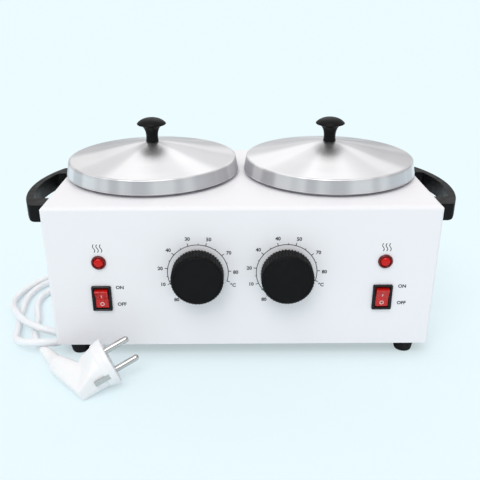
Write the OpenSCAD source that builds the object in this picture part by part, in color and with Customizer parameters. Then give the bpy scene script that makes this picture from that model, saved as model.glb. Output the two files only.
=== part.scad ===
// Double-pot wax warmer: a white sheet-metal cabinet with two heated wells,
// two lift-out aluminium pots with lids, two dial thermostats, two rocker
// switches, two pilot lamps and a mains lead with an angled two-pin plug.
// Millimetres, +Z up, the feet stand on z = 0, the controls face -Y.

/* [Cabinet] */
// Width of the cabinet, side to side
body_w = 295; // [290:1:305]
// Depth of the cabinet, front to back
body_d = 164; // [162:1:172]
// Height of the cabinet without its feet
body_h = 115.5; // [112:0.5:122]
// Thickness of the painted steel sheet
sheet_t = 1.2; // [1:0.1:1.5]
// Outer radius of the bends
bend_r = 3; // [2.5:0.5:4]
// Height of the underside of the base plate above the cabinet's lower edge
base_recess = 4; // [3.5:0.5:6]

/* [Feet] */
// Height of the rubber feet
foot_h = 11; // [10:1:13]
// Diameter of a foot at its top
foot_top_d = 17; // [15:0.5:18]
// Diameter of a foot at the floor
foot_bottom_d = 14; // [11:0.5:14]
// Distance of a foot's centre from the cabinet's side
foot_in_x = 16; // [15:0.5:20]
// Distance of a foot's centre from the cabinet's front or back
foot_in_y = 11; // [10:0.5:14]

/* [Pots and lids] */
// Distance between the centres of the two pots
pot_gap = 149.4; // [149:0.1:152]
// Distance of the pot centres behind the front panel
pot_y = 91.7; // [89:0.1:92]
// Outer radius of a lid at its rim
lid_r = 72.3; // [71:0.1:72.5]
// Height of a lid's crown above the cabinet
lid_crown = 27.3; // [25:0.1:30]
// Outer radius of a removable pot
pot_r = 60; // [58:0.5:61]
// Depth of a removable pot
pot_depth = 78; // [70:1:80]
// Wall of the pots and wells
pot_t = 1.2; // [1:0.1:1.5]
// Height of a lid's knob
lid_knob_h = 19.7; // [18:0.1:22]
// Radius of a lid knob's cap
lid_knob_r = 12.2; // [11:0.1:13]

/* [Handles] */
// How far the grips stand out from the cabinet's sides
handle_out = 31; // [29:0.1:33]
// Height of the grip bar
handle_h = 14; // [12:0.5:16]
// Thickness of the grip bar
handle_t = 6; // [5:0.1:7]
// Distance of the grip's top below the cabinet's top
handle_drop = 10.5; // [9:0.1:12]
// Radius of the bow that the grip follows
handle_bow = 112; // [105:1:120]
// How far the bow's middle lies in front of the handle's middle
bow_shift = 3; // [0:0.5:5]
// Distance of a handle's middle behind the front panel
handle_y = 87; // [82:0.5:90]
// Length of the handle from leg to leg
handle_len = 103.4; // [98:0.1:106]
// Width of a handle's leg
leg_w = 17.6; // [15:0.1:19]

/* [Controls] */
// Distance of the dials from the middle
dial_x = 33.6; // [32:0.1:36]
// Height of the dials above the cabinet's lower edge
dial_z = 63; // [60:0.1:65]
// Diameter of a dial knob
dial_d = 39.5; // [38:0.1:41]
// How far a dial knob stands out from the panel
dial_out = 15; // [13:0.1:16]
// Distance of the lamps and switches from the middle
switch_x = 107.8; // [106:0.1:110]
// Height of the switches above the cabinet's lower edge
switch_z = 41.8; // [38:0.1:44]
// Height of the pilot lamps above the cabinet's lower edge
lamp_z = 72; // [69:0.1:74]
// Angle between a rocker's two rest positions
rocker_throw = 22; // [18:1:24]

/* [Lead and plug] */
// Diameter of the mains lead
cord_d = 6; // [5.8:0.1:6.2]
// Distance of the lead's gland from the middle
gland_x = 115; // [110:1:118]
// Height of the gland above the cabinet's lower edge
gland_z = 22; // [20:0.5:24]
// Length of the tapered strain relief
relief_len = 26; // [24:1:28]
// Radius of the coil at its outermost turn
coil_r = 38; // [37:0.5:39]
// Distance between neighbouring turns of the coil
coil_pitch = 6.8; // [6.6:0.1:7.2]

/* [Hidden] */
left = -1;
right = 1;
slack = 0.1;                                     // gap between parts that rest on each other
front_y = (dial_out - body_d) / 2;               // the front panel
back_y = front_y + body_d;
floor_edge = foot_h;                             // the cabinet's lower edge
top_z = foot_h + body_h;
plate_z = foot_h + base_recess;                  // underside of the base plate
flange_w = 14;                                   // the cabinet's inward flange that carries the plate
pot_x = pot_gap / 2;
pot_cy = front_y + pot_y;
well_clear = 1;                                  // around the pot, inside the well
well_r = pot_r + well_clear + pot_t;             // outer radius of a well
well_flange_r = 68;
well_flange_t = 1;
well_depth = pot_depth + 4;
pot_rim_z = top_z + well_flange_t + slack;       // underside of the pot's rim
pot_rim_t = 1.2;
pot_rim_r = 69.5;
lid_gap = 0.3;                                   // between the pot's rim and the lid's hem
lid_z = pot_rim_z + pot_rim_t + lid_gap;         // underside of the lid's hem
band_t = 3;
band_h = 36;
band_z = top_z - 66;
wool_t = 2.5;
handle_z = top_z - handle_drop - handle_h;
handle_cy = front_y + handle_y;
handle_screw_dy = (handle_len - leg_w) / 2;
dial_h = foot_h + dial_z;
knob_gap = 0.8;                                  // between a dial knob and the panel
block_y = back_y - 24;                           // middle of the terminal block
shaft_r = 3;
running = 0.05;                                  // radial play of a shaft or pin in its bore
bush_r = 5;
panel_screw_dx = 13.5;
lamp_h = foot_h + lamp_z;
switch_h = foot_h + switch_z;
bezel_w = 15;
bezel_h = 21;
bezel_t = 2;
rocker_w = 9.9;
rocker_end_r = 8.3;                              // from the rocker's pivot to its ends
rocker_rise = 11;                                // slope of each half of the rocker's face
pivot_in = 1;                                    // the rocker's pivot behind the panel's face
pivot_r = 1.2;
cord_r = cord_d / 2;
gland_h = foot_h + gland_z;
relief_tip_y = back_y + relief_len;
coil_x = -45;
coil_cy = front_y + 214;
coil_turns = 2.5;
plug_at = [-98.2, front_y - 33.4, 18.6];         // middle of the plug's front face
plug_turn = [0, -20.5, 24];                      // nose-up tilt and heading
plug_r = 18;
pin_r = 2.4;
pin_len = 19;
pin_gap = 19;
plug_tip = [-160, front_y + 4, 4];               // where the lead enters the plug
plug_knee = [-139.5, front_y - 24.5, 8.1];       // where the ribbed relief begins

// Routes of the free lead, with y counted from the front panel
rear_route = [[-115, 190, 33], [-115, 201, 33], [-115, 213, 30], [-114, 225, 23],
    [-110, 236, 14], [-102, 245, 7], [-90, 250, 3], [-77, 252, 3], [-64, 252, 3],
    [-51, 252, 3]];
front_route = [[-51, 176, 9.8], [-64, 176, 9], [-80, 175, 6], [-96, 173, 4],
    [-112, 172, 3], [-128, 171, 3], [-145, 168, 3], [-161, 160, 3], [-176, 149, 3],
    [-190, 138, 3], [-201, 124, 3], [-208, 109, 3], [-211, 94, 3], [-209, 81, 4.5],
    [-204, 66, 8], [-196, 52, 10], [-186, 40, 10], [-176, 31.5, 10.3], [-166, 27.5, 8.9],
    [-156, 27.5, 5.9], [-146, 29.5, 3.4], [-133, 32, 3], [-120, 37, 3], [-110, 47, 3],
    [-105, 61, 3], [-104, 77, 3], [-104, 93, 3], [-106, 109, 3], [-112, 123, 3],
    [-123, 133, 3], [-136, 139, 3], [-150, 141, 3], [-165, 140, 3], [-179, 134, 3],
    [-190, 124, 3], [-197, 112, 3], [-200, 99, 3], [-200, 85, 3], [-198, 71, 3],
    [-196, 57, 3], [-192.5, 43, 3], [-189.5, 29, 3.6], [-185.5, 16.5, 6.2], [-178.5, 8, 9.2],
    [-169, 3.8, 11], [-158.8, 4, 10.9], [-149.7, 8.6, 7.7], [-143.5, 17, 7.5], [-141, 27, 9.5],
    [-140, 37.5, 9.9], [-139, 51, 6], [-138.5, 66, 3.2], [-138, 82, 3], [-140, 97, 3],
    [-146.5, 108, 3], [-157, 114, 3], [-168.5, 114.5, 3], [-179, 109.5, 3], [-186, 100, 3],
    [-188, 88, 3], [-186, 75, 3], [-182.5, 64, 3], [-179, 53, 3], [-177, 40, 3], [-174, 28, 3],
    [-169, 16, 4], [-160, 4, 4]];

function shifted(route) = [for (p = route) [p[0], p[1] + front_y, p[2]]];

// A tube of n sides along points: its rings are square to the path and don't twist round it
function unit3(v) = v / norm(v);
function heading(pts, i) = unit3(pts[min(i + 1, len(pts) - 1)] - pts[max(i - 1, 0)]);
function headings(pts) = [for (i = [0:len(pts) - 1]) heading(pts, i)];
function carried(side, dir) = unit3(side - (side * dir) * dir);
function sideways(dirs) =
    [for (i = 0, s = unit3(cross([0, 0, 1], dirs[0])); i < len(dirs);
        i = i + 1, s = carried(s, dirs[min(i, len(dirs) - 1)])) s];
function ring_at(p, dir, side, r, n) =
    let (up = cross(dir, side))
    [for (k = [0:n - 1]) p + r * (cos(360 * k / n) * side + sin(360 * k / n) * up)];
function tube_points(pts, r, n) =
    let (dirs = headings(pts), sides = sideways(dirs))
    [for (i = [0:len(pts) - 1]) each ring_at(pts[i], dirs[i], sides[i], is_list(r) ? r[i] : r, n)];
function tube_faces(rings, n) = concat(
    [for (i = [0:rings - 2], k = [0:n - 1])
        [i * n + k, i * n + (k + 1) % n, (i + 1) * n + k]],
    [for (i = [0:rings - 2], k = [0:n - 1])
        [i * n + (k + 1) % n, (i + 1) * n + (k + 1) % n, (i + 1) * n + k]],
    [for (k = [1:n - 2]) [0, k + 1, k]],
    [for (k = [1:n - 2]) [(rings - 1) * n, (rings - 1) * n + k, (rings - 1) * n + k + 1]]);
module tube(pts, r, n) {
    polyhedron(points = tube_points(pts, r, n), faces = tube_faces(len(pts), n), convexity = 10);
}

// The coil: two layers, the lower spiralling in and the upper spiralling out
function coil_turn_r(t) = coil_r - coil_pitch * min(t, coil_turns - t);
function coil_climb(t) = (1 - cos(180 * max(0, min(1, (t - coil_turns / 2) * 2 + 0.5)))) / 2;
function coil_point(t) = [coil_x + coil_turn_r(t) * sin(360 * t),
    coil_cy + coil_turn_r(t) * cos(360 * t), cord_r + coil_pitch * coil_climb(t)];
coil_steps = 24 * coil_turns;
coil_path = concat([coil_point(0) - [cord_d, 0, 0]],
    [for (i = [0:coil_steps]) coil_point(i / 24)],
    [coil_point(coil_turns) - [cord_d, 0, 0]]);
coil_gap = min([for (i = [1:len(coil_path) - 2], j = [i + 8:1:len(coil_path) - 2])
    norm(coil_path[i] - coil_path[j])]) - cord_d;
echo(least_gap_of_the_coil_to_itself = coil_gap);
function path_len(pts) = len(pts) < 2 ? 0
    : [for (i = 0, s = 0; i < len(pts) - 1; s = s + norm(pts[i + 1] - pts[i]), i = i + 1)
        s + norm(pts[i + 1] - pts[i])][len(pts) - 2];
echo(lead_length = path_len(rear_route) + path_len(coil_path) + path_len(front_route));

// Small shapes that repeat
module rounded_square(w, h, r) {
    square([w - 2 * r, h], center = true);
    square([w, h - 2 * r], center = true);
    for (x = [-1, 1], y = [-1, 1])
        translate([x * (w / 2 - r), y * (h / 2 - r)]) circle(r, $fn = 48);
}
module rod_y(x, y, z, r, len) {
    translate([x, y, z]) rotate([-90, 0, 0]) cylinder(h = len, r = r, $fn = 48);
}
module rod_x(x, y, z, r, len) {
    translate([x, y, z]) rotate([0, 90, 0]) cylinder(h = len, r = r, $fn = 48);
}
module pan_screw(r, len, head_r, head_h) {
    // Head up from z = 0, thread down
    difference() {
        cylinder(h = head_h, r1 = head_r, r2 = head_r * 0.7, $fn = 32);
        for (a = [0, 90])
            rotate([0, 0, a]) translate([-head_r * 0.55, -0.4, head_h - 0.8])
                cube([head_r * 1.1, 0.8, 1]);
    }
    translate([0, 0, -len]) cylinder(h = len, r = r, $fn = 32);
}

// A block with rounded vertical, long top and side top edges and a flat underside
module cabinet_block(w, d, h, r) {
    intersection() {
        translate([0, 0, h / 2]) rotate([90, 0, 90])
            linear_extrude(w, center = true) {
                translate([0, -r / 2]) square([d, h - r], center = true);
                square([d - 2 * r, h], center = true);
                for (y = [-1, 1])
                    translate([y * (d / 2 - r), h / 2 - r]) circle(r, $fn = 64);
            }
        translate([0, 0, h / 2]) rotate([90, 0, 0])
            linear_extrude(d, center = true) {
                translate([0, -r / 2]) square([w, h - r], center = true);
                square([w - 2 * r, h], center = true);
                for (x = [-1, 1])
                    translate([x * (w / 2 - r), h / 2 - r]) circle(r, $fn = 64);
            }
        linear_extrude(h) rounded_square(w, d, r * 0.7);
    }
}

module housing() color("whitesmoke") {
    mid_y = front_y + body_d / 2;
    difference() {
        translate([0, mid_y, foot_h]) cabinet_block(body_w, body_d, body_h, bend_r);
        // The hollow, which leaves the inward flange at the bottom edge
        translate([0, mid_y, plate_z + sheet_t + sheet_t])
            cabinet_block(body_w - 2 * sheet_t, body_d - 2 * sheet_t,
                top_z - sheet_t - plate_z - 2 * sheet_t, bend_r - sheet_t);
        translate([0, mid_y, plate_z]) cube([body_w - 2 * flange_w, body_d - 2 * flange_w, 20],
            center = true);
        translate([0, mid_y, foot_h]) cube([body_w - 2 * sheet_t, body_d - 2 * sheet_t,
            2 * (base_recess + sheet_t)], center = true);
        for (side = [left, right]) {
            translate([side * pot_x, pot_cy, top_z - 5]) cylinder(h = 10, r = well_r + 0.5, $fn = 128);
            rod_y(side * dial_x, front_y - 1, dial_h, bush_r + 0.2, 4);
            for (dx = [-1, 1])
                rod_y(side * dial_x + dx * panel_screw_dx, front_y - 1, dial_h, 2.2, 4);
            rod_y(side * switch_x, front_y - 1, lamp_h, 4.7, 4);
            translate([side * switch_x, front_y, switch_h]) cube([13.2, 6, 19.2], center = true);
            for (dy = [-1, 1])
                rod_x(side * (body_w / 2 - 1) - 2, handle_cy + dy * handle_screw_dy,
                    handle_z + handle_h / 2, 2.2, 4);
        }
        rod_y(-gland_x, back_y - 3, gland_h, 6.2, 6);
        base_screw_places() cylinder(h = 12, r = 1.7, center = true, $fn = 32);
        foot_places(plate_z) translate([0, 0, sheet_t]) cylinder(h = 6, r = 2.2, center = true, $fn = 32);
    }
}

module base_screw_places() {
    for (x = [-1, 0, 1], y = [-1, 1])
        translate([x * 95, front_y + body_d / 2 + y * (body_d / 2 - 8), plate_z]) children();
}
module foot_places(z) {
    for (x = [-1, 1], y = [-1, 1])
        translate([x * (body_w / 2 - foot_in_x),
            front_y + body_d / 2 + y * (body_d / 2 - foot_in_y), z]) children();
}

module base_plate() color("silver") {
    difference() {
        translate([0, front_y + body_d / 2, plate_z + sheet_t / 2])
            cube([body_w - 2 * sheet_t - 0.6, body_d - 2 * sheet_t - 0.6, sheet_t], center = true);
        base_screw_places() cylinder(h = 6, r = 2.2, center = true, $fn = 32);
        foot_places(plate_z) cylinder(h = 6, r = 2.2, center = true, $fn = 32);
        // Cooling slots below each well
        for (side = [left, right], i = [-4:4])
            translate([side * pot_x + i * 9, pot_cy, plate_z]) {
                cube([3, 46, 6], center = true);
                for (y = [-23, 23]) translate([0, y, 0]) cylinder(h = 6, r = 1.5, center = true, $fn = 24);
            }
    }
}

module base_screws() color("gainsboro") {
    base_screw_places() rotate([180, 0, 0]) pan_screw(1.65, 7, 3.4, 2);
}

module rubber_feet() color([0.08, 0.08, 0.09]) {
    foot_places(0) difference() {
        rotate_extrude($fn = 64) polygon([[0, 0], [foot_bottom_d / 2 - 1.5, 0],
            [foot_bottom_d / 2 - 0.4, 0.5], [foot_bottom_d / 2, 1.5],
            [foot_top_d / 2, foot_h - 1], [foot_top_d / 2, foot_h + base_recess],
            [0, foot_h + base_recess]]);
        translate([0, 0, -1]) cylinder(h = 7, r = 3.6, $fn = 32);
        translate([0, 0, 5]) cylinder(h = 20, r = 2.1, $fn = 32);
    }
}

module foot_screws() color("gainsboro") {
    foot_places(6) rotate([180, 0, 0]) pan_screw(2, 16, 3.4, 2.2);
}

// Plan of a handle on the right, drawn about its own middle: x outwards, y along the side
module bow(r) {
    translate([handle_out - handle_bow, -bow_shift]) circle(r, $fn = 256);
}
module handle_plan() {
    difference() {
        intersection() {
            bow(handle_bow);
            translate([0, -handle_len / 2]) square([handle_out + 1, handle_len]);
        }
        intersection() {
            bow(handle_bow - handle_t);
            translate([-5, -handle_len / 2 + leg_w]) square([60, handle_len - 2 * leg_w]);
        }
    }
}
module handle() {
    // The lower outer edge is rounded by a second, narrower layer
    difference() {
        union() {
            translate([0, 0, 2]) linear_extrude(handle_h - 2) handle_plan();
            linear_extrude(2) intersection() {
                handle_plan();
                bow(handle_bow - 1.2);
            }
        }
        for (y = [-1, 1]) rod_x(-1, y * handle_screw_dy, handle_h / 2, 1.6, 13);
    }
}
module placed_handle(side) color([0.09, 0.09, 0.1]) {
    translate([side * body_w / 2, handle_cy, handle_z]) mirror([side == left ? 1 : 0, 0, 0]) handle();
}
module handle_screws() color("gainsboro") {
    for (side = [left, right], dy = [-1, 1])
        translate([side * (body_w / 2 - sheet_t), handle_cy + dy * handle_screw_dy,
            handle_z + handle_h / 2]) rotate([0, -side * 90, 0]) pan_screw(1.6, 12, 4.5, 2.2);
}

// A spun cup with a flat flange: outer radius, wall, depth below the rim, flange radius
module cup(r, t, depth, flange_r, flange_t) {
    rotate_extrude($fn = 128) polygon([[0, -depth], [r - 6, -depth], [r - 1.8, -depth + 1.8],
        [r, -depth + 6], [r, 0], [flange_r, 0], [flange_r, flange_t], [r - t, flange_t],
        [r - t, -depth + 6.4], [r - t - 1.6, -depth + 2.8], [r - 6.4, -depth + t], [0, -depth + t]]);
}
module well(side) color("silver")
    translate([side * pot_x, pot_cy, top_z]) cup(well_r, pot_t, well_depth, well_flange_r, well_flange_t);
module pot(side) color("lightgray")
    translate([side * pot_x, pot_cy, pot_rim_z]) cup(pot_r, pot_t, pot_depth, pot_rim_r, pot_rim_t);

module heater_band(side) color("goldenrod")
    translate([side * pot_x, pot_cy, band_z]) {
        difference() {
            cylinder(h = band_h, r = well_r + band_t, $fn = 128);
            translate([0, 0, -1]) cylinder(h = band_h + 2, r = well_r, $fn = 128);
            translate([0, well_r, band_h / 2]) cube([5, 20, band_h + 2], center = true);
        }
        // Clamp ears on both sides of the split
        for (x = [-1, 1]) translate([x * 3.4, well_r + 4.5, band_h / 2]) difference() {
            cube([1.6, 7, band_h - 8], center = true);
            rotate([0, 90, 0]) cylinder(h = 4, r = 1.7, center = true, $fn = 24);
        }
    }
module insulation(side) color("khaki")
    translate([side * pot_x, pot_cy, band_z]) difference() {
        cylinder(h = band_h, r = well_r + band_t + wool_t, $fn = 96);
        translate([0, 0, -1]) cylinder(h = band_h + 2, r = well_r + band_t, $fn = 128);
        translate([0, well_r + 6, band_h / 2]) cube([14, 16, band_h + 2], center = true);
    }

// Half section of a lid above its hem: outside first, then back along the inside
lid_wall = 1.2;
lid_top = lid_crown - 3.2;                       // crown above the hem's underside
lid_profile = [[lid_r - 3.5, 0], [lid_r, 0], [lid_r - 0.2, 1], [lid_r - 1.8, 9.4], [lid_r - 2.2, 10.4],
    [lid_r - 2.9, 11.1], [lid_r - 4, 11.5], [lid_r - 6.3, 11.8], [50, 14.6], [40, 16.9], [30, 19.2],
    [20, 21.3], [12, 22.8], [6, 23.8], [0, lid_top]];
lid_inside = [[0, lid_top - lid_wall], [12, 21.5], [30, 17.9], [50, 13.3], [lid_r - 7, 10.6],
    [lid_r - 4.6, 10.1], [lid_r - 3.5, 9], [lid_r - 1.6, 1], [lid_r - 3.5, 1]];
module lid(side) color("lightgray")
    translate([side * pot_x, pot_cy, lid_z]) difference() {
        rotate_extrude($fn = 160) polygon(concat(lid_profile, lid_inside));
        translate([0, 0, 18]) cylinder(h = 10, r = 2.1, $fn = 32);
    }
module lid_knob(side) color([0.08, 0.08, 0.09])
    translate([side * pot_x, pot_cy, lid_z + lid_top]) difference() {
        rotate_extrude($fn = 64) polygon([[0, 0], [5.4, 0], [5, 4], [5.2, 8], [6.3, 11], [8, 12.8],
            [10.6, 13.6], [lid_knob_r, 14.6], [lid_knob_r - 0.4, 15.2], [10.4, 16.6], [8, 18.1],
            [4.5, 19.3], [0, lid_knob_h]]);
        translate([0, 0, -1]) cylinder(h = 11, r = 2, $fn = 32);
    }
module lid_screw(side) color("gainsboro")
    translate([side * pot_x, pot_cy, lid_z + lid_top - lid_wall - 1.4]) {
        rotate([180, 0, 0]) pan_screw(2, 11, 4, 2.4);
        difference() {
            cylinder(h = 0.8, r = 4.5, $fn = 48);
            translate([0, 0, -1]) cylinder(h = 3, r = 2.05, $fn = 32);
        }
    }

// Capillary thermostat behind the panel, with a bush that the shaft turns in
module thermostat(side) color("darkgray") {
    difference() {
        union() {
            translate([side * dial_x - 18, front_y + sheet_t, dial_h - 15]) cube([36, 1.6, 30]);
            translate([side * dial_x - 16, front_y + sheet_t + 1.6, dial_h - 14]) cube([32, 15, 28]);
            rod_y(side * dial_x, front_y - 3, dial_h, bush_r, 6);
            for (x = [-1, 1])
                translate([side * dial_x + x * 8 - 2, front_y + 17, dial_h - 3]) cube([4, 5, 6]);
        }
        rod_y(side * dial_x, front_y - 4, dial_h, shaft_r + running, 12);
        for (dx = [-1, 1])
            rod_y(side * dial_x + dx * panel_screw_dx, front_y, dial_h, 1.9, 9);
    }
}
module thermostat_screws() color("gainsboro")
    for (side = [left, right], dx = [-1, 1])
        translate([side * dial_x + dx * panel_screw_dx, front_y, dial_h])
            rotate([90, 0, 0]) pan_screw(1.9, 7, 3.2, 1.8);
module dial_shaft(side) color("gainsboro")
    difference() {
        rod_y(side * dial_x, front_y - dial_out + 3, dial_h, shaft_r, dial_out + 4);
        translate([side * dial_x - 5, front_y - dial_out + 2, dial_h + 2.2]) cube([10, 10, 5]);
    }
module dial_knob(side) color([0.08, 0.08, 0.09])
    translate([side * dial_x, front_y - knob_gap, dial_h]) rotate([90, 0, 0]) difference() {
        knob_len = dial_out - knob_gap;
        union() {
            cylinder(h = knob_len - 1, r = dial_d / 2 - 0.5, $fn = 128);
            translate([0, 0, knob_len - 1])
                cylinder(h = 0.6, r1 = dial_d / 2 - 0.5, r2 = dial_d / 2 - 1, $fn = 128);
            // Raised line round the face
            translate([0, 0, knob_len - 0.5]) difference() {
                cylinder(h = 0.5, r = dial_d / 2 - 1.4, $fn = 128);
                translate([0, 0, 0.1]) cylinder(h = 2, r = dial_d / 2 - 2.2, $fn = 128);
            }
            // Grip ribs
            linear_extrude(knob_len - 1.2)
                for (i = [0:49]) rotate(i * 360 / 50)
                    translate([dial_d / 2 - 0.75, 0]) circle(0.75, $fn = 24);
        }
        // Hollow back with a hub on the shaft
        translate([0, 0, -1]) difference() {
            cylinder(h = knob_len - 1.6, r = dial_d / 2 - 2.4, $fn = 96);
            cylinder(h = knob_len, r = 5.6, $fn = 48);
        }
        // Bore with a flat that matches the shaft's
        difference() {
            translate([0, 0, -1]) cylinder(h = 12.9, r = shaft_r + 0.02, $fn = 48);
            translate([-5, 2.25, 2.3]) cube([10, 5, 12]);
        }
        translate([0, 0, -1]) cylinder(h = 4.2, r = bush_r + 0.6, $fn = 48);
    }

// Capillary tube from the thermostat, swelling into a bulb that lies against the well's wall
module capillary(side) color("peru") {
    bulb_x = side * 42.3;
    bulb_y = front_y + 35.5;
    bulb_z = band_z + band_h + 7;
    tube([[side * dial_x, front_y + 17.9, dial_h - 10], [side * 34, front_y + 20.5, 64],
        [side * 35, front_y + 23, 69], [side * 36.5, front_y + 24.5, 79],
        [side * 38, front_y + 25.5, 88], [side * 39.5, front_y + 28.5, 95],
        [side * 41.5, front_y + 33, 100], [bulb_x, bulb_y, bulb_z], [bulb_x, bulb_y, bulb_z + 1],
        [bulb_x, bulb_y, bulb_z + 15], [bulb_x, bulb_y, bulb_z + 16]],
        [0.9, 0.9, 0.9, 0.9, 0.9, 0.9, 0.9, 0.9, 2.3, 2.3, 1.2], 8);
}

// Rocker switch: the case with its bezel and tabs, and the rocker on its pivot
module switch_body(side) color([0.1, 0.1, 0.11])
    translate([side * switch_x, front_y, switch_h]) difference() {
        union() {
            translate([0, -bezel_t / 2, 0]) rotate([90, 0, 0])
                linear_extrude(bezel_t, center = true) rounded_square(bezel_w, bezel_h, 0.8);
            translate([-6.5, 0, -9.5]) cube([13, 16, 19]);
            for (z = [-5, 5]) translate([-2.4, 16, z - 0.4]) cube([4.8, 7, 0.8]);
        }
        translate([-5.1, -bezel_t - 1, -8.9]) cube([10.2, 12, 17.8]);
        rod_x(-6, pivot_in, 0, pivot_r + running, 12);
    }
function rocker_face_v() =
    let (s = tan(rocker_rise), c = pivot_in + 1.2)
    (-s * c + sqrt(s * s * c * c - (1 + s * s) * (c * c - rocker_end_r * rocker_end_r))) / (1 + s * s);
module rocker(side) color([0.75, 0.05, 0.05])
    translate([side * switch_x, front_y + pivot_in, switch_h]) rotate([rocker_rise, 0, 0]) {
        v = rocker_face_v();
        u = pivot_in + 1.2;
        rotate([0, -90, 0]) rotate([0, 0, 180]) linear_extrude(rocker_w, center = true)
            intersection() {
                circle(rocker_end_r, $fn = 96);
                polygon([[-9, u + 9 * tan(rocker_rise)], [0, u], [9, u + 9 * tan(rocker_rise)],
                    [9, -2.4], [-9, -2.4]]);
            }
        rod_x(-rocker_w / 2 - 0.8, 0, 0, pivot_r, rocker_w + 1.6);
    }

module lamp_body(side) color([0.45, 0.03, 0.03]) {
    difference() {
        union() {
            rod_y(side * switch_x, front_y - 1.8, lamp_h, 5.6, 1.8);
            rod_y(side * switch_x, front_y - 0.5, lamp_h, 4.5, 22);
            rod_y(side * switch_x, front_y + sheet_t, lamp_h, 7, 3);
        }
        rod_y(side * switch_x, front_y - 2.5, lamp_h, 3.8, 7.5);
    }
    for (x = [-1, 1])
        translate([side * switch_x + x * 2 - 0.3, front_y + 21.5, lamp_h - 1.5]) cube([0.6, 6, 3]);
}
module lamp_lens(side) color([0.95, 0.1, 0.08])
    translate([side * switch_x, front_y + 4.9, lamp_h]) rotate([90, 0, 0])
        rotate_extrude($fn = 64) polygon([[0, 0], [3.75, 0], [3.75, 6.2], [3.4, 6.8], [2.4, 7.3],
            [1.2, 7.6], [0, 7.7]]);

module terminal_block() color("ivory")
    translate([0, block_y, plate_z + 2 * sheet_t]) difference() {
        translate([-22, -7, 0]) cube([44, 14, 16]);
        for (x = [-16, -8, 0, 8, 16]) {
            rod_y(x, -8, 6, 2, 16);
            translate([x, 0, 8]) cylinder(h = 12, r = 2, $fn = 24);
        }
    }
module terminal_screws() color("gainsboro")
    for (x = [-16, -8, 0, 8, 16])
        translate([x, block_y, plate_z + 2 * sheet_t + 8.2]) cylinder(h = 5, r = 1.95, $fn = 24);
module thermal_fuses() color("gold")
    for (side = [left, right])
        translate([side * 4.5, pot_cy - 8, band_z + 6]) {
            cylinder(h = 12, r = 2, $fn = 24);
            for (z = [-6, 12]) translate([0, 0, z]) cylinder(h = 6, r = 0.5, $fn = 16);
        }
module earth_stud() color("goldenrod") {
    translate([-gland_x + 26, back_y - 30, plate_z + sheet_t]) {
        cylinder(h = 12, r = 2, $fn = 32);
        translate([0, 0, 0]) cylinder(h = 2.6, r = 4, $fn = 6);
        translate([0, 0, 6]) cylinder(h = 3.2, r = 4, $fn = 6);
    }
}
module wire(points) {
    tube(points, 1.1, 8);
}
module wiring() color("brown") {
    low = plate_z + 8.4;
    for (side = [left, right]) {
        // Terminal block to the switch
        wire([[side * 16, block_y - 4, low], [side * 16, block_y - 12, low],
            [side * 22, block_y - 24, low], [side * 56, front_y + 70, low],
            [side * 86, front_y + 38, low], [side * 98, front_y + 30, low + 2],
            [side * 105, front_y + 27, low + 8], [side * switch_x, front_y + 25, low + 16],
            [side * switch_x, front_y + 23, switch_h - 6]]);
        // Switch to the lamp
        wire([[side * switch_x, front_y + 23, switch_h + 6], [side * switch_x, front_y + 25, switch_h + 11],
            [side * (switch_x - 1), front_y + 27, lamp_h - 9],
            [side * (switch_x - 2), front_y + 27, lamp_h - 2]]);
        // Terminal block to the thermal fuse
        wire([[side * 8, block_y - 4, low], [side * 8, block_y - 12, low],
            [side * 7, front_y + 112, low + 3], [side * 5.5, front_y + 94, low + 12],
            [side * 4.5, front_y + 84, low + 26], [side * 4.5, pot_cy - 8, band_z - 0.2]]);
    }
    // Cores of the mains lead, from the gland to the back of the terminal block
    for (i = [-1, 0, 1]) {
        x = -gland_x + 2.6 * i;
        y = back_y - 11.5 + 2.5 * i;
        wire([[x, back_y - 6.2, gland_h], [x + 1, y + 1, gland_h], [x + 4, y, gland_h - 1],
            [-98 + 2.6 * i, y, low + 4], [-80, y, low], [8 * i - 3, y, low],
            [8 * i - 0.5, y - 1.5, low], [8 * i, block_y + 5, low]]);
    }
}

module cord_gland() color("white") {
    difference() {
        translate([-gland_x, back_y, gland_h]) rotate([-90, 0, 0]) union() {
            translate([0, 0, -6]) cylinder(h = 6, r = 6.1, $fn = 48);
            cylinder(h = 3, r = 9, $fn = 64);
            cylinder(h = relief_len, r1 = 7, r2 = 4.3, $fn = 48);
            translate([0, 0, -sheet_t - 2.2]) cylinder(h = 2, r = 7.6, $fn = 48);
        }
        for (i = [0:4])
            translate([-gland_x, back_y + 7 + i * 3.8, gland_h]) rotate([-90, 0, 0]) difference() {
                cylinder(h = 1.6, r = 9, $fn = 48);
                translate([0, 0, -1]) cylinder(h = 4, r = 4.6 - i * 0.25, $fn = 48);
            }
    }
}
module cord_rear() color("white") tube(shifted(rear_route), cord_r, 8);
module cord_front() color("white") tube(shifted(front_route), cord_r, 8);
module cord_coil() color("white") tube(coil_path, cord_r, 6);

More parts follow.
